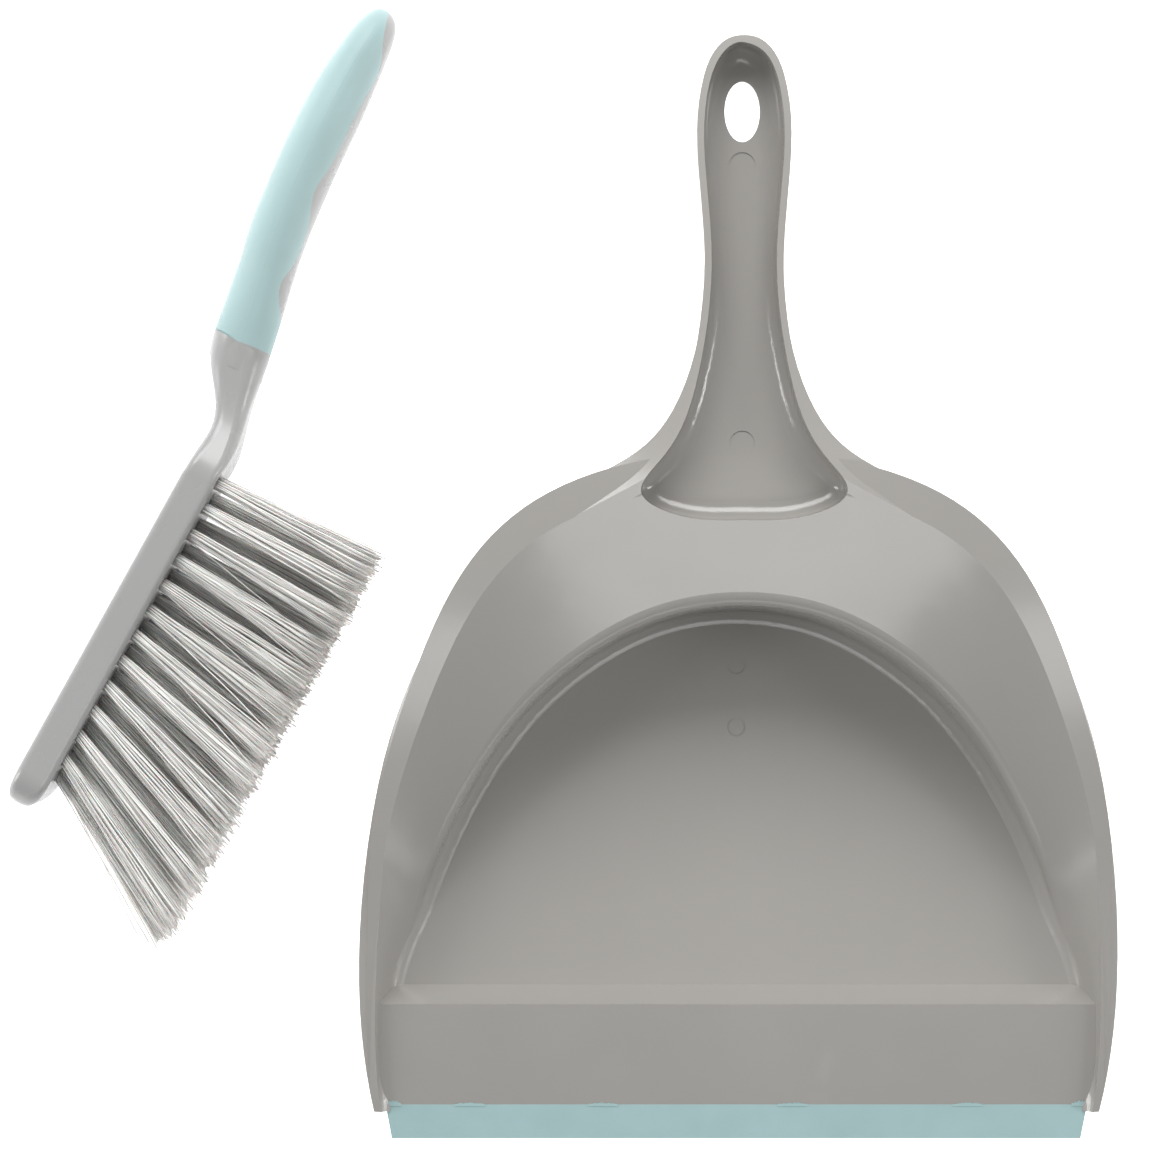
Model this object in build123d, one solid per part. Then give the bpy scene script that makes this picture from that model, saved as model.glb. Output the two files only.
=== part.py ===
from build123d import *
import os
from math import cos, radians, sin

# ---------------------------------------------------------------- driving dimensions (mm)
# Frame: origin on the underside of the dustpan, X = 0 is its plane of symmetry,
# +Y runs from the sweeping lip to the handle, +Z is up.

WALL = 2.0                 # thickness of the dustpan shell
FLOOR_TOP = 2.0            # height of the tray floor
VOID_TOP = 62.0            # height that the hollow shapes reach up to, above the whole dustpan
BELOW = -20.0              # height that cutting shapes reach down to, below the whole dustpan
RIM_TRIM = 1.0             # the shell is cut this far below the rim line, under the flange
FLANGE_REACH = 6.0         # how far the flange reaches in across the shell, where the hollow trims it
FLANGE_DEPTH = 2.2         # thickness of the sloping rim flange
TURN_ROUND = 5.0           # radius where the pocket wall turns outward into the dish
FOOT_ROUND = 4.0           # radius between the floor and the pocket wall
CHANNEL_ROUND = 5.5        # radius between the bottom and the sides of the channel
CHANNEL_BOTTOM = 37.0      # height of the inside of the handle channel
HOLE_WIDTH = 10.2          # hanging hole, an oval, across the handle
HOLE_LENGTH = 17.4         # and along it
HOLE_Y = 201.3             # its centre
MARK_DEPTH = 0.25          # round ejector marks
FRONT_Y = -93.0            # front ends of the side walls
RAMP_FRONT_Y = -91.0       # front edge of the ramp, where the soft lip starts
RAMP_TOP_Y = -60.0         # ridge of the ramp
RAMP_HEIGHT = 10.0
RAMP_LOW = 2.0             # thickness of the ramp at its front edge
UNDER_FRONT_Y = -84.0      # hollow under the ramp: front end,
UNDER_TOP_Y = -60.9        # ridge,
UNDER_HEIGHT = 7.7
UNDER_FOOT_Y = -56.1       # and back end
STEP_FOOT_Y = -55.0        # foot of the step behind the ridge
LIP_FRONT_Y = -101.4
LIP_EDGE = 0.7             # thickness of the lip at its free edge
LIP_HALF_WIDTH = 105.0     # half width of the lip where it meets the ramp
LIP_FRONT_HALF_WIDTH = 103.2
TONGUE_HALF_WIDTH = 100.0
TONGUE_LENGTH = 5.0        # tongue of the lip that lies under the ramp
TONGUE_DEPTH = 0.8

# height of the rim along the dustpan: (Y, Z)
RIM_PROFILE = [(-124, -4.8), (-93, 4.2), (-62, 13.0), (-40, 19.0), (0, 31.5), (30, 41.0),
               (60, 47.5), (90, 50.0), (130, 49.0), (180, 50.0), (228, 47.0)]

# the dish: matching points of its inner edge (X, Y, Z) and of the rim (X, Y), half outline, front to back
DISH_EDGE = [(102.0, -112, -20.0), (104.2, -88, -12.0), (100.8, -60, -4.5), (94.2, -30, 6.5), (82.1, 0, 19.5),
             (61.7, 30, 31.5), (44.0, 45, 37.0), (23.0, 55.5, 40.3), (0, 59, 41.3)]
DISH_RIM = [(104.2, -112), (106.4, -88), (106.5, -58), (103.0, -27), (95.8, 6), (79.2, 44),
            (61.8, 70.5), (33.0, 91.5), (0, 97)]
POCKET_DRAFT = 0.06        # outward run of the steep pocket wall per mm of height
POCKET_LOW = -30.0         # the hollow shape reaches this far down before it is trimmed at the floor
TRIM_FRONT_Y = -97.0       # and is trimmed here, ahead of the side walls
SLAB_HALF_WIDTH = 130.0    # half width of cutting shapes that are wider than the dustpan

# ejector marks along the middle: (Y, height of the face they lie in, diameter)
EJECTOR_MARKS = [(22.0, FLOOR_TOP, 5.4), (40.6, FLOOR_TOP, 5.4), (105.6, CHANNEL_BOTTOM, 7.2),
                 (185.9, CHANNEL_BOTTOM, 7.5)]

# half outline of the inside of the handle channel, mouth to tip
CHANNEL_OUTLINE = [(0, 83.2), (19, 84.6), (29.5, 91.5), (24.0, 100.3), (18.3, 108.8), (12.3, 128.8),
                   (9.3, 158), (10.3, 174.4), (11.5, 191), (10.2, 206.8), (6.1, 216.6), (0, 219.7)]

# rim flange: inner edge (X, Y), outer edge (X, Y), drop of the outer edge
FLANGE = [((105.8, -93), (108.4, -93), 0.8), ((106.7, -75), (111.3, -74), 1.6),
          ((105.6, -50), (112.3, -50), 3.0), ((100.5, -13), (109.4, -14), 4.6),
          ((92.0, 17), (102.2, 20), 5.0), ((78.3, 46), (88.9, 51), 5.0),
          ((65.2, 66), (75.0, 71), 5.0), ((45.9, 83.2), (54.0, 89.8), 4.6),
          ((29.3, 94.7), (35.0, 100.0), 3.4), ((18.3, 108.8), (23.0, 110.5), 1.8),
          ((12.3, 128.8), (14.6, 129.2), 0.6), ((9.3, 158), (11.3, 158), 0.3),
          ((10.3, 174.4), (12.3, 174), 0.3), ((11.5, 191), (13.5, 191.3), 0.3),
          ((10.2, 206.8), (12.1, 207.7), 0.3), ((6.1, 216.6), (7.4, 218.6), 0.3),
          ((0, 219.7), (0, 221.8), 0.3)]


# ---------------------------------------------------------------- helpers

def closed_loop(half):
    """Closed wire: a spline through a half outline and its mirror image, closed by a line."""
    left = [Vector(-p.X, p.Y, p.Z) for p in reversed(half[:-1])]
    return Wire([Spline(*half, *left), Line(left[-1], half[0])])


def outward(half, distances):
    """Move each point of a half outline outward, across the outline, by its own distance."""
    moved = []
    for i, (x, y) in enumerate(half):
        before = half[max(i - 1, 0)]
        after = half[min(i + 1, len(half) - 1)]
        along = Vector(after[0] - before[0], after[1] - before[1]).normalized()
        if i == len(half) - 1:
            along = Vector(-1, 0)
        moved.append((x + along.Y * distances[i], y - along.X * distances[i]))
    return moved


def side_slab(profile):
    """Solid with the given outline in the YZ plane, wider than the dustpan."""
    face = Plane.YZ * make_face(Polyline(*profile, close=True))
    return extrude(face, amount=SLAB_HALF_WIDTH, both=True)


def below_rim(lowering):
    """Everything below the rim line, lowered by the given amount."""
    line = Spline(*[(y, z - lowering) for y, z in RIM_PROFILE])
    first = line @ 0
    last = line @ 1
    frame = Polyline(last, (last.X, BELOW), (first.X, BELOW), first)
    return extrude(Plane.YZ * make_face(line + frame), amount=SLAB_HALF_WIDTH, both=True)


# ---------------------------------------------------------------- dustpan

def beyond(start, end, z):
    """Point at height z on the straight line from start through end."""
    return start + (end - start) * ((z - start.Z) / (end.Z - start.Z))


def trough_rings(grow, drop):
    """Three outlines of the hollow: below the floor, along the dish's edge, and above the rim."""
    count = len(DISH_EDGE)
    plan = [(x, y) for x, y, z in DISH_EDGE]
    wall_runs = [POCKET_DRAFT * (z - POCKET_LOW) for x, y, z in DISH_EDGE]
    foot = [Vector(x, y, POCKET_LOW) for x, y in outward(plan, [grow - run for run in wall_runs])]
    edge = []
    top = []
    for edge_xy, rim_xy, point, crest in zip(outward(plan, [grow] * count), outward(DISH_RIM, [grow] * count),
                                             DISH_EDGE, DISH_RIM):
        low = Vector(*edge_xy, point[2] - drop)
        high = Vector(*rim_xy, rim_height(crest[1]) - drop)
        edge.append(low)
        top.append(beyond(low, high, VOID_TOP))
    return foot, edge, top


def trough_block(grow, bottom, drop):
    """Solid that fills the pocket and the dish above it, rounded at the dish's edge and along the floor."""
    rings = trough_rings(grow, drop)
    block = Solid.make_loft([closed_loop(ring) for ring in rings], ruled=True)
    edge_middle = rings[1][-1]
    turn = [e for e in block.edges().filter_by(GeomType.BSPLINE)
            if abs(e.center().X) < 1 and abs(e.center().Y - edge_middle.Y) < 3]
    block = block.fillet(TURN_ROUND - grow, turn)
    keep = 2 * SLAB_HALF_WIDTH
    block &= Pos(0, TRIM_FRONT_Y + keep / 2, bottom + keep / 2) * Box(keep, keep, keep)
    floor_edge = [e for e in block.edges()
                  if abs(e.center().Z - bottom) < 0.05 and e.center().Y > TRIM_FRONT_Y + 1]
    return block.fillet(FOOT_ROUND + grow, floor_edge)


def channel_block(grow, bottom):
    """Solid that fills the handle channel, with a round-bottomed section."""
    radius = CHANNEL_ROUND + grow
    rings = []
    for angle in (90, 60, 30, 0):
        inset = radius - radius * cos(radians(angle))
        height = bottom + radius - radius * sin(radians(angle))
        rings.append(channel_loop(grow - inset, height))
    bowl = Solid.make_loft(rings)
    return bowl + extrude(Face(rings[-1]), amount=VOID_TOP - bottom - radius, dir=(0, 0, 1))


def channel_loop(grow, z):
    """Closed smooth outline of the handle channel at height z, moved outward by grow."""
    half = outward(CHANNEL_OUTLINE, [grow] * len(CHANNEL_OUTLINE))
    half[0] = (0, CHANNEL_OUTLINE[0][1] - grow)
    points = half[::-1] + [(-x, y) for x, y in half[1:-1]]
    return Wire([Spline(*[(x, y, z) for x, y in points], periodic=True)])


def flange_half():
    """Right half of the sloping rim band, a loft through its cross-sections."""
    sections = []
    for inner, outer, drop in FLANGE:
        away = Vector(outer[0] - inner[0], outer[1] - inner[1])
        reach = away.length
        away = away.normalized()
        z = rim_height(inner[1])
        start = Vector(*inner) - away * FLANGE_REACH
        top_in = Vector(start.X, start.Y, z + FLANGE_REACH * drop / reach)
        top_out = Vector(outer[0], outer[1], z - drop)
        down = Vector(0, 0, -FLANGE_DEPTH)
        sections.append(Wire(Polyline(top_in, top_out, top_out + down, top_in + down, close=True)))
    return Solid.make_loft(sections)


def rim_height(y):
    """Height of the rim line at a given Y."""
    upright = Line((y, BELOW), (y, 2 * VOID_TOP))
    return Spline(*RIM_PROFILE).intersect(upright)[0].Y


def inside_shape():
    """Everything hollow: pocket and dish above the ramp, and handle channel."""
    ramp = side_slab([(2 * FRONT_Y, BELOW), (2 * FRONT_Y, RAMP_LOW), (RAMP_FRONT_Y, RAMP_LOW),
                      (RAMP_TOP_Y, RAMP_HEIGHT), (STEP_FOOT_Y, FLOOR_TOP), (STEP_FOOT_Y, BELOW)])
    return trough_block(0, FLOOR_TOP, 0) - ramp + channel_block(0, CHANNEL_BOTTOM)


def outside_shape():
    """The same shapes one wall thickness larger, hollow under the ramp, cut off below the rim line."""
    under_ramp = side_slab([(UNDER_FRONT_Y, BELOW), (UNDER_FRONT_Y, 0), (UNDER_TOP_Y, UNDER_HEIGHT),
                            (UNDER_FOOT_Y, 0), (UNDER_FOOT_Y, BELOW)])
    trough = trough_block(WALL, 0, WALL) - under_ramp
    return (trough + channel_block(WALL, CHANNEL_BOTTOM - WALL)) & below_rim(RIM_TRIM)


def dustpan_body(lip):
    """The whole hard moulding: the outer shape and the flange, less the inside."""
    flange = flange_half()
    shell = outside_shape() + flange + mirror(flange, about=Plane.YZ) - inside_shape()
    shell -= Pos(0, FRONT_Y - 50, 0) * Box(2 * SLAB_HALF_WIDTH, 100, 2 * VOID_TOP)
    ahead = Pos(0, RAMP_FRONT_Y - 50, 0) * Box(2 * LIP_HALF_WIDTH, 100, 2 * RAMP_LOW + 0.2)
    oval = Pos(0, HOLE_Y, CHANNEL_BOTTOM) * Ellipse(HOLE_WIDTH / 2, HOLE_LENGTH / 2)
    hole = extrude(oval, amount=10, both=True)
    marks = [Pos(0, y, z) * Cylinder(diameter / 2, 2 * MARK_DEPTH) for y, z, diameter in EJECTOR_MARKS]
    return shell - ahead - hole - marks - lip


def dustpan_lip():
    """Soft strip along the front edge, tapering to its free edge, with a tongue under the ramp."""
    strip = side_slab([(RAMP_FRONT_Y, 0), (RAMP_FRONT_Y, RAMP_LOW), (LIP_FRONT_Y, LIP_EDGE), (LIP_FRONT_Y, 0)])
    corners = [(-LIP_HALF_WIDTH, RAMP_FRONT_Y), (LIP_HALF_WIDTH, RAMP_FRONT_Y),
               (LIP_FRONT_HALF_WIDTH, LIP_FRONT_Y), (-LIP_FRONT_HALF_WIDTH, LIP_FRONT_Y)]
    plan = make_face(Polyline(*corners, close=True))
    tongue = Pos(0, RAMP_FRONT_Y + TONGUE_LENGTH / 2, TONGUE_DEPTH / 2) * Box(
        2 * TONGUE_HALF_WIDTH, TONGUE_LENGTH, TONGUE_DEPTH)
    return (strip & extrude(plan, amount=10)) + tongue


# ---------------------------------------------------------------- brush
# The brush is drawn in its own plane: a runs from the toe of the bristle face to the grip,
# b runs from the bristle face to the back, and its thickness is along Z.

BRUSH_PLANE = Plane(origin=(-200.5, 8.4, 0), x_dir=(0.485, 0.8745, 0), z_dir=(0, 0, 1))
HEAD_WIDTH = 30.0
MIDDLE_Z = HEAD_WIDTH / 2
SOFT_DEPTH = 2.0           # thickness of the soft overmould on the flanks
SOFT_EDGE_DEPTH = 0.35     # and where it wraps round the edges of the handle

# rounded sections of toe and neck: (a, b on the bristle side, b on the back, half width, corner radius)
TOE_SECTIONS = [(-12.3, 4.2, 8.4, 6.5, 1.9), (-10.6, 2.0, 9.7, 10.2, 2.0), (-7.0, 0.4, 10.2, 13.4, 2.0),
                (-2.0, 0.0, 10.3, 14.9, 2.0)]
NECK_SECTIONS = [(96.0, 0.0, 10.3, 14.9, 2.0), (103.0, 0.0, 10.0, 13.8, 2.4), (110.0, 0.3, 9.9, 10.4, 3.0),
                 (116.0, 1.6, 11.4, 8.0, 3.4), (122.0, 3.0, 15.3, 6.9, 4.0), (128.0, 4.0, 19.9, 6.8, 5.0),
                 (137.5, 5.4, 23.9, 7.7, 7.0)]

# handle sections: (a, b on the bristle side, b on the back, width along Z)
HANDLE_SECTIONS = [(130.0, 4.0, 21.6, 14.0), (137.5, 5.5, 23.8, 15.5), (150.0, 8.0, 25.8, 18.5),
                   (165.0, 11.2, 28.7, 22.5), (180.0, 13.4, 31.1, 25.0), (195.0, 14.8, 32.6, 26.0),
                   (210.0, 15.8, 33.3, 25.5), (225.0, 17.2, 32.7, 22.5), (236.0, 18.6, 31.1, 18.0),
                   (241.5, 20.4, 29.3, 11.5)]
HANDLE_TIP = (244.3, 25.2)

# bare plastic left along the two edges of the grip: (a, depth below the handle's edge)
BARE_FRONT = [(130, -2), (147.5, -0.4), (152, 1.2), (158.5, 2.6), (163, 1.4), (168, 0.6), (180, 1.3),
              (186.5, 2.6), (193, 1.9), (205, 1.4), (216, 1.1), (229, 0.85), (236.7, 2.6), (242, 2.6), (248, 2)]
BARE_BACK = [(130, -2), (153, -0.5), (160, 1.1), (169, -0.4), (177, 0.6), (188, 1.0), (205, 0.7),
             (228, 0.55), (239, -0.4), (248, -2)]

# collar between neck and grip: (a, b)
COLLAR_LINE = [(134.6, 28), (137.4, 16), (138.2, 11), (138.6, 2)]
PAST_TIP_A = 260.0

# bristles
TUFT_ROWS = 4
TUFTS_PER_ROW = 12
ROW_SPACING = 6.6
TUFT_PITCH = 8.4
FIRST_ROOT_A = 0.6
ROW_STAGGER = 0.62         # share of the pitch that every other row is shifted by
TUFT_RADIUS = 1.8
TUFT_LENGTH = 51.0
TUFT_HOLE_DEPTH = 7.0
BOUND_LENGTH = 0.5         # length below the head before a tuft starts to splay
TUFT_CLEARANCE = 0.05
DRILL_START = 2.0          # tuft holes are cut from this far below the head
TIP_HALF_LONG = 3.9        # half size of a tuft's splayed end along the head
TIP_HALF_WIDE = 3.0        # and across it
LEAN_TOE = 27.0            # lean of the tufts at the toe, degrees
LEAN_HEEL = -1.0
LEAN_POWER = 1.4           # how quickly the lean fades from toe to heel


def handle_solid(edge_inset, flank_inset):
    """Handle with round sections, from inside the neck to the tip."""
    rings = []
    for a, front, back, width in HANDLE_SECTIONS:
        plane = Plane(origin=(a, (front + back) / 2, MIDDLE_Z), x_dir=(0, 1, 0), z_dir=(1, 0, 0))
        ring = Ellipse((back - front) / 2 - edge_inset, width / 2 - flank_inset)
        rings.append((plane * ring).wire())
    tip = Vertex(HANDLE_TIP[0] - flank_inset, HANDLE_TIP[1], MIDDLE_Z)
    return Solid.make_loft(rings + [tip])


def strip_line(points, column, sign):
    """Curve that runs at the given depths inside one edge line of the handle."""
    past_tip = (HANDLE_TIP[0] + 6, HANDLE_TIP[1])
    line = Spline(*[(row[0], row[column]) for row in HANDLE_SECTIONS], past_tip)
    placed = []
    for a, depth in points:
        crossing = line.intersect(Line((a, -HEAD_WIDTH), (a, 2 * HEAD_WIDTH)))[0]
        placed.append((a, crossing.Y + sign * depth))
    return Spline(*placed)


def soft_region():
    """Everything that the soft grip may cover: between the bare strips, above the collar line."""
    front = strip_line(BARE_FRONT, 1, 1)
    back = strip_line(BARE_BACK, 2, -1)
    panel = make_face([front, Line(front @ 1, back @ 1), back, Line(back @ 0, front @ 0)])
    collar = Spline(*COLLAR_LINE)
    first = COLLAR_LINE[0]
    last = COLLAR_LINE[-1]
    around = Polyline(last, (PAST_TIP_A, last[1]), (PAST_TIP_A, 60), (first[0], 60), first)
    beyond_collar = make_face([collar, around])
    region = extrude(panel, amount=2 * HEAD_WIDTH, both=True)
    return region & extrude(beyond_collar, amount=2 * HEAD_WIDTH, both=True)


def tuft_roots():
    """Root position (a, z) and lean of every tuft, by row and column."""
    roots = []
    for row in range(TUFT_ROWS):
        z = MIDDLE_Z + (row - (TUFT_ROWS - 1) / 2) * ROW_SPACING
        for column in range(TUFTS_PER_ROW):
            a = FIRST_ROOT_A + TUFT_PITCH * (column + ROW_STAGGER * (row % 2))
            share = column / (TUFTS_PER_ROW - 1)
            lean = LEAN_TOE * (1 - share) ** LEAN_POWER + LEAN_HEEL * share
            roots.append((row, column, a, z, lean))
    return roots


def tuft_plane(a, z, lean, depth):
    """Plane across a tuft at a distance below (+) or above (-) the bristle face."""
    axis = Vector(-sin(radians(lean)), -cos(radians(lean)), 0)
    return Plane(origin=Vector(a, 0, z) + axis * depth, x_dir=(0, 0, 1), z_dir=axis)


def tuft(a, z, lean):
    """One tuft: round in its hole, splayed to an oval at its trimmed end."""
    hole = tuft_plane(a, z, lean, -TUFT_HOLE_DEPTH)
    face = tuft_plane(a, z, lean, BOUND_LENGTH)
    tip = tuft_plane(a, z, lean, TUFT_LENGTH / cos(radians(lean)))
    root = extrude(hole * Circle(TUFT_RADIUS), amount=TUFT_HOLE_DEPTH + BOUND_LENGTH)
    splay = loft([face * Circle(TUFT_RADIUS), tip * Ellipse(TIP_HALF_WIDE, TIP_HALF_LONG)])
    return root + splay


def rounded_sections(rows):
    """Solid lofted through rounded rectangles across the brush."""
    rings = []
    for a, front, back, half_width, radius in rows:
        plane = Plane(origin=(a, (front + back) / 2, MIDDLE_Z), x_dir=(0, 1, 0), z_dir=(1, 0, 0))
        rings.append((plane * RectangleRounded(back - front, 2 * half_width, radius)).wire())
    return Solid.make_loft(rings)


def brush_body(handle, grip):
    """Head, neck and handle core in one piece, with the blind tuft holes."""
    bar = rounded_sections([TOE_SECTIONS[-1], NECK_SECTIONS[0]])
    body = rounded_sections(TOE_SECTIONS) + bar + rounded_sections(NECK_SECTIONS) + (handle - grip)
    drills = []
    for row, column, a, z, lean in tuft_roots():
        start = tuft_plane(a, z, lean, DRILL_START)
        circle = start * Circle(TUFT_RADIUS + TUFT_CLEARANCE)
        drills.append(extrude(circle, amount=-TUFT_HOLE_DEPTH - DRILL_START))
    return body - drills - grip


# ---------------------------------------------------------------- assembly

def save(name, shape):
    """Write one sub-part to its own file."""
    export_step(shape, f"parts/{name}.step")


def main():
    os.makedirs("parts", exist_ok=True)
    lip = dustpan_lip()
    save("dustpan_lip", lip)
    save("dustpan_body", dustpan_body(lip))

    handle = handle_solid(0, 0)
    core = handle_solid(SOFT_EDGE_DEPTH, SOFT_DEPTH)
    grip = (handle & soft_region()) - core
    in_place = BRUSH_PLANE.location
    save("brush_grip", grip.moved(in_place))
    save("brush_body", brush_body(handle, grip).moved(in_place))
    for row, column, a, z, lean in tuft_roots():
        save(f"bristle_tuft_{row + 1}_{column + 1}", tuft(a, z, lean).moved(in_place))


main()
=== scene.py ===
import bpy
import math
import numpy as np
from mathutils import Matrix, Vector


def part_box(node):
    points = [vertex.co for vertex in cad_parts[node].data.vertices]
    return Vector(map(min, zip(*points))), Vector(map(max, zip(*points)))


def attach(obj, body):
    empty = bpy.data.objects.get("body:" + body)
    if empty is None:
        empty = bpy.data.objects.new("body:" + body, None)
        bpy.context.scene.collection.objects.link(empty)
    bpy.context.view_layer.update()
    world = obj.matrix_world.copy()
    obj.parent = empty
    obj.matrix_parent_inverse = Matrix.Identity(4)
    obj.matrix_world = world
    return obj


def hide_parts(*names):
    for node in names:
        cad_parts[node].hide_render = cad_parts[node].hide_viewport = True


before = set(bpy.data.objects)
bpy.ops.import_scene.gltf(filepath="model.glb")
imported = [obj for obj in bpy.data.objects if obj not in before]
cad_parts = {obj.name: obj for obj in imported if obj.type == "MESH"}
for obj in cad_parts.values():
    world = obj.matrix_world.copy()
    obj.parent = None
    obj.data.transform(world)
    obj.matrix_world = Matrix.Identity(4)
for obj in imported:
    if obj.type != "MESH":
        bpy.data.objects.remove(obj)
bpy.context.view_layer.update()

MM = 0.001
rng = np.random.default_rng(41)

# ---------------------------------------------------------------- camera, light and floor

CAMERA_HEIGHT = 1.0                 # the camera looks straight down on the set
CAMERA_X = -0.0483
CAMERA_Y = 0.0675
FIELD_WIDTH = 0.345                 # width of floor in view
SENSOR = 36.0
VIEW_END = 20                       # nothing farther than this is drawn
FLOOR_HALF = 3.0                    # half the side of the floor sheet
FLOOR_DROP = 0.5 * MM               # the sheet lies this far under the set
FLOOR_WHITE = (0.93, 0.93, 0.93, 1)
FLOOR_ROUGH = 0.9
FLOOR_GLOW = 0.85                   # the floor is a sheet lit from below, so no shadow shows on it
WHITE = (1, 1, 1, 1)
ROOM_LIGHT = 0.2
LAMPS = (                           # name, place, target, size and power in watts
    ("back_softbox", (-0.1, 1.17, 0.90), (0, 0, 0), (1.3, 0.7), 23),
    ("front_softbox", (0.1, -0.75, 1.6), (0, 0, 0), (1.2, 0.5), 7),
    ("left_strip", (-1.5, -0.1, 0.55), (0, -0.05, 0), (0.4, 0.9), 13),
    ("right_strip", (1.4, -0.1, 0.55), (0, -0.05, 0), (0.3, 0.9), 11),
)


def aim(obj, place, target):
    obj.location = place
    obj.rotation_euler = (Vector(target) - Vector(place)).to_track_quat("-Z", "Y").to_euler()
    bpy.context.scene.collection.objects.link(obj)


def area_light(name, place, target, size, power):
    data = bpy.data.lights.new(name, "AREA")
    data.shape = "RECTANGLE"
    data.size, data.size_y = size
    data.energy = power
    aim(bpy.data.objects.new(name, data), place, target)


def make_camera():
    data = bpy.data.cameras.new("camera")
    data.sensor_width = SENSOR
    data.lens = SENSOR * CAMERA_HEIGHT / FIELD_WIDTH
    data.clip_end = VIEW_END
    camera = bpy.data.objects.new("camera", data)
    camera.location = (CAMERA_X, CAMERA_Y, CAMERA_HEIGHT)
    bpy.context.scene.collection.objects.link(camera)
    bpy.context.scene.camera = camera


def make_stage():
    half = FLOOR_HALF
    mesh = bpy.data.meshes.new("floor")
    corners = [(-half, -half, 0), (half, -half, 0), (half, half, 0), (-half, half, 0)]
    mesh.from_pydata(corners, [], [(0, 1, 2, 3)])
    floor = bpy.data.objects.new("floor", mesh)
    floor.location.z = -FLOOR_DROP
    bpy.context.scene.collection.objects.link(floor)
    material = bpy.data.materials.new("floor_paper")
    material.use_nodes = True
    shader = material.node_tree.nodes["Principled BSDF"]
    shader.inputs["Base Color"].default_value = FLOOR_WHITE
    shader.inputs["Roughness"].default_value = FLOOR_ROUGH
    shader.inputs["Emission Color"].default_value = WHITE
    shader.inputs["Emission Strength"].default_value = FLOOR_GLOW
    mesh.materials.append(material)


def make_lights():
    for lamp in LAMPS:
        area_light(*lamp)
    world = bpy.data.worlds.new("studio")
    world.use_nodes = True
    world.node_tree.nodes["Background"].inputs[0].default_value = WHITE
    world.node_tree.nodes["Background"].inputs[1].default_value = ROOM_LIGHT
    bpy.context.scene.world = world
    bpy.context.scene.view_settings.view_transform = "Standard"


# ---------------------------------------------------------------- materials

class Nodes:
    """Short calls for building a node material."""

    def __init__(self, name):
        self.material = bpy.data.materials.new(name)
        self.material.use_nodes = True
        self.tree = self.material.node_tree
        self.shader = self.tree.nodes["Principled BSDF"]
        self.where = self.tree.nodes.new("ShaderNodeNewGeometry").outputs["Position"]

    def set(self, **values):
        for key, value in values.items():
            self.shader.inputs[key.replace("_", " ")].default_value = value

    def link(self, source, socket):
        self.tree.links.new(source, socket)

    def place(self, stretch=(1, 1, 1), angle=0.0):
        node = self.tree.nodes.new("ShaderNodeMapping")
        node.inputs["Rotation"].default_value = (0, 0, math.radians(angle))
        node.inputs["Scale"].default_value = stretch
        self.link(self.where, node.inputs["Vector"])
        return node.outputs["Vector"]

    def noise(self, scale, detail=3.0, rough=0.5, stretch=(1, 1, 1), angle=0.0):
        node = self.tree.nodes.new("ShaderNodeTexNoise")
        node.inputs["Scale"].default_value = scale
        node.inputs["Detail"].default_value = detail
        node.inputs["Roughness"].default_value = rough
        self.link(self.place(stretch, angle), node.inputs["Vector"])
        return node.outputs["Fac"]

    def span(self, source, low, high, to_low, to_high):
        node = self.tree.nodes.new("ShaderNodeMapRange")
        node.clamp = True
        for i, value in enumerate((low, high, to_low, to_high)):
            node.inputs[i + 1].default_value = value
        self.link(source, node.inputs[0])
        return node.outputs[0]

    def blend(self, factor, first, second):
        node = self.tree.nodes.new("ShaderNodeMix")
        node.data_type = "RGBA"
        self.link(factor, node.inputs[0])
        for socket, value in ((node.inputs[6], first), (node.inputs[7], second)):
            if isinstance(value, tuple):
                socket.default_value = (*value, 1)
            else:
                self.link(value, socket)
        return node.outputs[2]

    def sum(self, first, second, operation="ADD"):
        node = self.tree.nodes.new("ShaderNodeMath")
        node.operation = operation
        for socket, value in zip(node.inputs, (first, second)):
            if isinstance(value, (int, float)):
                socket.default_value = value
            else:
                self.link(value, socket)
        return node.outputs[0]

    def bump(self, height, depth, normal=None):
        node = self.tree.nodes.new("ShaderNodeBump")
        node.inputs["Strength"].default_value = 1.0
        node.inputs["Distance"].default_value = depth
        self.link(height, node.inputs["Height"])
        if normal is not None:
            self.link(normal, node.inputs["Normal"])
        return node.outputs["Normal"]


DARKER = 0.965                      # the two shades that a mottled colour drifts between
LIGHTER = 1.03
SPECK_DARK = 0.70
SCUFF_LIGHT = 1.5
SCUFF_SHOW = 0.09                   # how much a scuff lightens the colour
SCUFF_ROUGH = 0.10                  # and how much it dulls the gloss
SCUFF_DEPTH = 0.003 * MM
PEEL_DEPTH = 0.03 * MM
PLASTIC_IOR = 1.49
DUST_LIGHT = 1.25
GRAIN_DEPTH = 0.02 * MM
RUBBER_IOR = 1.45
DARK_FILAMENT_PAINTED_SHADE = 0.58                # darkest and lightest filament against the bristle colour; the dark end is painted shade for strands that lie in shadow
LIGHT_FILAMENT = 1.16
FILAMENT_IOR = 1.5


def shaded(colour, factor):
    return tuple(min(1, c * factor) for c in colour)


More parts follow.
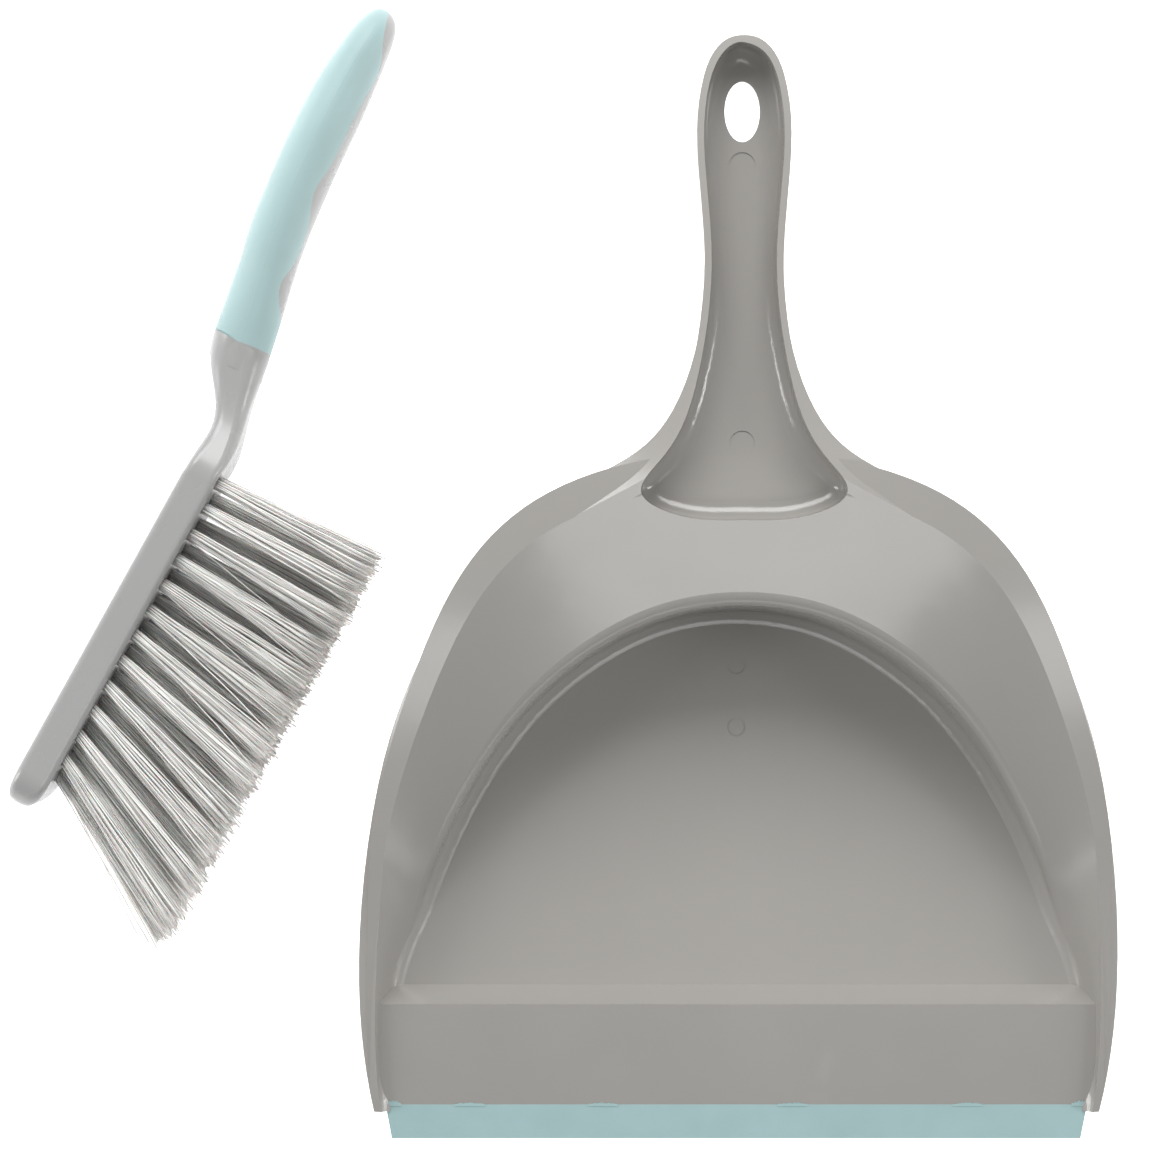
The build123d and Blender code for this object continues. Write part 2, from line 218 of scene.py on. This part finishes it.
def moulded_plastic(name, colour, gloss):
    """Glossy moulded polypropylene: slow flow mottling, fine scuffs and a faint orange peel."""
    n = Nodes(name)
    flow = n.noise(9, 4, 0.55, stretch=(1, 0.45, 1))
    base = n.blend(n.span(flow, 0.3, 0.7, 0, 1), shaded(colour, DARKER), shaded(colour, LIGHTER))
    specks = n.noise(700, 2, 0.6)
    base = n.blend(n.span(specks, 0.74, 0.86, 0, 0.30), base, shaded(colour, SPECK_DARK))
    along = n.span(n.noise(55, 7, 0.62, stretch=(1, 0.16, 1), angle=23), 0.66, 0.78, 0, 1)
    across = n.span(n.noise(70, 7, 0.62, stretch=(0.14, 1, 1), angle=-37), 0.68, 0.80, 0, 1)
    scuffs = n.sum(along, across, "MAXIMUM")
    base = n.blend(n.sum(scuffs, SCUFF_SHOW, "MULTIPLY"), base, shaded(colour, SCUFF_LIGHT))
    n.link(base, n.shader.inputs["Base Color"])
    cloudy = n.span(n.noise(26, 4, 0.6), 0.3, 0.7, gloss - 0.03, gloss + 0.05)
    n.link(n.sum(cloudy, n.sum(scuffs, SCUFF_ROUGH, "MULTIPLY")), n.shader.inputs["Roughness"])
    peel = n.bump(n.noise(150, 2, 0.5), PEEL_DEPTH)
    n.link(n.bump(scuffs, SCUFF_DEPTH, peel), n.shader.inputs["Normal"])
    n.set(IOR=PLASTIC_IOR)
    return n.material


def soft_rubber(name, colour, rough):
    """Satin elastomer: fine grain, slightly uneven colour, a soft sheen."""
    n = Nodes(name)
    cloud = n.noise(38, 4, 0.6)
    base = n.blend(n.span(cloud, 0.3, 0.7, 0, 1), shaded(colour, DARKER), shaded(colour, LIGHTER))
    dust = n.noise(1400, 2, 0.6)
    base = n.blend(n.span(dust, 0.66, 0.82, 0, 0.25), base, shaded(colour, DUST_LIGHT))
    n.link(base, n.shader.inputs["Base Color"])
    patchy = n.span(n.noise(120, 3, 0.6), 0.3, 0.7, rough - 0.05, rough + 0.06)
    n.link(patchy, n.shader.inputs["Roughness"])
    n.link(n.bump(n.noise(2600, 2, 0.5), GRAIN_DEPTH), n.shader.inputs["Normal"])
    n.set(IOR=RUBBER_IOR)
    n.shader.inputs["Sheen Weight"].default_value = 0.12
    n.shader.inputs["Sheen Roughness"].default_value = 0.4
    return n.material


def filament(name, colour):
    """Pale polymer bristle: each filament gets a random tone, partly painted shade for strands in
    shadow, with a soft gloss along it.
    """
    n = Nodes(name)
    # random tone per filament, partly painted shade: the darker filaments stand in for strands in
    # shadow
    shade = n.tree.nodes.new("ShaderNodeAttribute")
    shade.attribute_name = "shade"
    own = shade.outputs["Fac"]
    base = n.blend(own, shaded(colour, DARK_FILAMENT_PAINTED_SHADE), shaded(colour, LIGHT_FILAMENT))
    n.link(base, n.shader.inputs["Base Color"])
    n.link(n.span(n.noise(700, 2, 0.5), 0.3, 0.7, 0.34, 0.5), n.shader.inputs["Roughness"])
    n.set(IOR=FILAMENT_IOR)
    n.shader.inputs["Subsurface Weight"].default_value = 0.15
    n.shader.inputs["Subsurface Scale"].default_value = 0.0004
    return n.material


PAN_GLOSS = 0.17                    # roughness of each surface
BRUSH_GLOSS = 0.26
LIP_ROUGH = 0.42
GRIP_ROUGH = 0.5
PAN_GREY = (0.312, 0.302, 0.285)
BRUSH_GREY = (0.315, 0.315, 0.312)
GRIP_AQUA = (0.310, 0.430, 0.434)
LIP_AQUA = (0.285, 0.42, 0.428)
BRISTLE_GREY = (0.84, 0.83, 0.805)


def paint(node, material):
    """Put one material on every slot of a CAD node."""
    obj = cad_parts[node]
    obj.data.materials.clear()
    obj.data.materials.append(material)


# ---------------------------------------------------------------- bristles

FILAMENTS = 56
FILAMENT_RADIUS = 0.185 * MM
RINGS = 8
SIDES = 4
HOLE_RADIUS = 1.55 * MM
TIP_WIDE = 2.9 * MM                 # half size of a splayed end across the head
TIP_LONG = 3.9 * MM                 # and along it
LOWEST = 0.4 * MM                   # no filament's middle line lies lower than this
HIDDEN_ROOT = 5.5 * MM              # filaments start this far up from the bottom of their hole
END_SLICE = 0.3 * MM                # depth of the slice that counts as one end of a tuft
GOLDEN_ANGLE = 2.39996              # sets filaments evenly over a round hole
TURN = 6.28
TIP_SCATTER = 0.13                  # scatter of the tips, as a share of the splayed end
STRAY_SHARE = 0.07                  # share of filaments that stick out
STRAY_REACH = 6
TUFT_SWAY = 0.5 * MM
SPLAY_RANGE = (0.82, 1.08)
BOW = 0.28 * MM
TRIM_SCATTER = 0.9 * MM             # unevenness of the cut
SHORT_SHARE = 0.08                  # share of filaments cut too short
SHORT_BY = 4 * MM
FAN_POWER = 1.25                    # the tuft opens slowly at the root and faster at the tip
WAVE = 0.10 * MM
WAVE_TURNS = 14


def tuft_line(node):
    """Root and tip centre of a CAD tuft, read from its own mesh."""
    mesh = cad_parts[node].data
    points = np.empty(len(mesh.vertices) * 3)
    mesh.vertices.foreach_get("co", points)
    points = points.reshape(-1, 3)
    middle = (points.min(0) + points.max(0)) / 2
    axis = np.linalg.svd(points - middle, full_matrices=False)[2][0]
    along = (points - middle) @ axis
    ends = []
    for inside in (along < along.min() + END_SLICE, along > along.max() - END_SLICE):
        ring = points[inside]
        ends.append(((ring.min(0) + ring.max(0)) / 2, np.linalg.norm(ring.max(0) - ring.min(0))))
    ends.sort(key=lambda end: end[1])
    return ends[0][0], ends[1][0]


def tuft_mesh(name, node):
    """A bundle of fine filaments that fans out from a round hole to an oval trimmed end."""
    root, tip = tuft_line(node)
    axis = (tip - root) / np.linalg.norm(tip - root)
    length = np.linalg.norm(tip - root)
    wide = np.array([0.0, 0.0, 1.0])
    long = np.cross(axis, wide)
    count = np.arange(FILAMENTS)
    radius = np.sqrt((count + 0.5) / FILAMENTS)
    turn = count * GOLDEN_ANGLE + rng.uniform(0, TURN)
    spread = np.stack([radius * np.cos(turn), radius * np.sin(turn)], 1)
    jitter = rng.normal(0, TIP_SCATTER, (FILAMENTS, 2))
    stray = rng.random(FILAMENTS) < STRAY_SHARE
    jitter[stray] *= STRAY_REACH
    sway = rng.normal(0, TUFT_SWAY)
    spread_out = rng.uniform(*SPLAY_RANGE)
    bow = rng.normal(0, BOW, (FILAMENTS, 2))
    end = spread + jitter
    cut = rng.normal(0, TRIM_SCATTER, FILAMENTS)
    short = rng.random(FILAMENTS) < SHORT_SHARE
    cut = cut - short * rng.uniform(0, SHORT_BY, FILAMENTS)
    phase = rng.uniform(0, TURN, FILAMENTS)
    vertices = np.empty((FILAMENTS, RINGS, SIDES, 3))
    for ring in range(RINGS):
        s = ring / (RINGS - 1)
        distance = HIDDEN_ROOT + s * (length - HIDDEN_ROOT + cut)
        open_out = np.clip(distance / length, 0, 1) ** FAN_POWER
        wave = WAVE * np.sin(phase + s * WAVE_TURNS)
        bend = np.sin(math.pi * s)
        tip_long = end[:, 0] * TIP_LONG * spread_out + sway
        off_long = spread[:, 0] * HOLE_RADIUS * (1 - open_out) + tip_long * open_out
        off_wide = spread[:, 1] * HOLE_RADIUS * (1 - open_out) + end[:, 1] * TIP_WIDE * open_out
        off_long = off_long + bow[:, 0] * bend + wave
        off_wide = off_wide + bow[:, 1] * bend + wave
        centre = root + distance[:, None] * axis
        centre = centre + off_long[:, None] * long + off_wide[:, None] * wide
        centre[:, 2] = np.maximum(centre[:, 2], LOWEST)
        for side in range(SIDES):
            angle = 2 * math.pi * side / SIDES
            rim = FILAMENT_RADIUS * (math.cos(angle) * long + math.sin(angle) * wide)
            vertices[:, ring, side] = centre + rim
    vertices = vertices.reshape(-1, 3)
    faces = []
    per = RINGS * SIDES
    for f in range(FILAMENTS):
        start = f * per
        for ring in range(RINGS - 1):
            for side in range(SIDES):
                a = start + ring * SIDES + side
                b = start + ring * SIDES + (side + 1) % SIDES
                faces.append((a, b, b + SIDES, a + SIDES))
        faces.append(tuple(start + side for side in reversed(range(SIDES))))
        faces.append(tuple(start + per - SIDES + side for side in range(SIDES)))
    mesh = bpy.data.meshes.new(name)
    mesh.from_pydata(vertices.tolist(), [], faces)
    mesh.polygons.foreach_set("use_smooth", np.ones(len(mesh.polygons), dtype=bool))
    # random value per filament that picks its tone, partly painted shade for strands in shadow
    shade = mesh.attributes.new("shade", "FLOAT", "POINT")
    shade.data.foreach_set("value", np.repeat(rng.random(FILAMENTS), per))
    return mesh


def make_bristles(material):
    tufts = sorted(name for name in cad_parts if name.startswith("bristle_tuft_"))
    for node in tufts:
        name = node.replace("bristle_tuft", "filaments")
        mesh = tuft_mesh(name, node)
        mesh.materials.append(material)
        piece = bpy.data.objects.new(name, mesh)
        bpy.context.scene.collection.objects.link(piece)
        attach(piece, "brush")
        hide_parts(node)


# ---------------------------------------------------------------- small details

LIP_TONGUE = 5 * MM                 # part of the lip that lies under the ramp
RAMP_SLOPE = 0.26
STRIP_STEPS = 14
STRIP_HALF = 0.12 * MM              # half the thickness of the flash
STRIP_BACK = 0.5 * MM               # how far it reaches back over the lip
STRIP_DEPTHS = (0.35, 1.0)          # its ragged edge, as shares of the full depth
END_WIDTH = 5 * MM
END_DEPTH = 1.6 * MM
END_INSET = 2.2 * MM
JOINT_WIDTH = 9 * MM
JOINT_DEPTH = 0.7 * MM
JOINT_SHARES = (0.12, 0.31, 0.58, 0.83)     # places along the joint, as shares of its length


def ragged_strip(name, centre, width, depth, material):
    """Thin irregular flash of soft plastic that lies where the lip was moulded on."""
    top = []
    low = []
    for i in range(STRIP_STEPS + 1):
        x = centre[0] + width * (i / STRIP_STEPS - 0.5)
        taper = math.sin(math.pi * (0.06 + 0.88 * i / STRIP_STEPS))
        out = depth * rng.uniform(*STRIP_DEPTHS) * taper
        top.append((x, centre[1] + out, centre[2] + STRIP_HALF + RAMP_SLOPE * out))
        low.append((x, centre[1] - STRIP_BACK, centre[2] + STRIP_HALF))
    outline = top + low[::-1]
    under = [(x, y, z - 2 * STRIP_HALF) for x, y, z in outline]
    count = len(outline)
    faces = [tuple(range(count))[::-1], tuple(range(count, 2 * count))]
    for i in range(count):
        j = (i + 1) % count
        faces.append((i, j, count + j, count + i))
    mesh = bpy.data.meshes.new(name)
    mesh.from_pydata(outline + under, [], faces)
    mesh.materials.append(material)
    piece = bpy.data.objects.new(name, mesh)
    bpy.context.scene.collection.objects.link(piece)
    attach(piece, "dustpan")


def make_flash(material):
    """Flash at both ends of the lip and along its joint with the ramp."""
    low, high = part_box("dustpan_lip")
    joint = high[1] - LIP_TONGUE
    for side, x in (("left", low[0]), ("right", high[0])):
        inward = 1 if side == "left" else -1
        centre = (x + inward * END_INSET, joint, high[2])
        ragged_strip(f"lip_flash_{side}", centre, END_WIDTH, END_DEPTH, material)
    for i, share in enumerate(JOINT_SHARES):
        x = low[0] + share * (high[0] - low[0])
        centre = (x, joint, high[2])
        ragged_strip(f"lip_flash_joint_{i + 1}", centre, JOINT_WIDTH, JOINT_DEPTH, material)


# ---------------------------------------------------------------- the scene

make_camera()
make_stage()
make_lights()
paint("dustpan_body", moulded_plastic("pan_grey_plastic", PAN_GREY, PAN_GLOSS))
paint("brush_body", moulded_plastic("brush_grey_plastic", BRUSH_GREY, BRUSH_GLOSS))
lip_rubber = soft_rubber("lip_aqua_rubber", LIP_AQUA, LIP_ROUGH)
paint("dustpan_lip", lip_rubber)
make_flash(lip_rubber)
paint("brush_grip", soft_rubber("grip_aqua_rubber", GRIP_AQUA, GRIP_ROUGH))
make_bristles(filament("bristle_filament", BRISTLE_GREY))
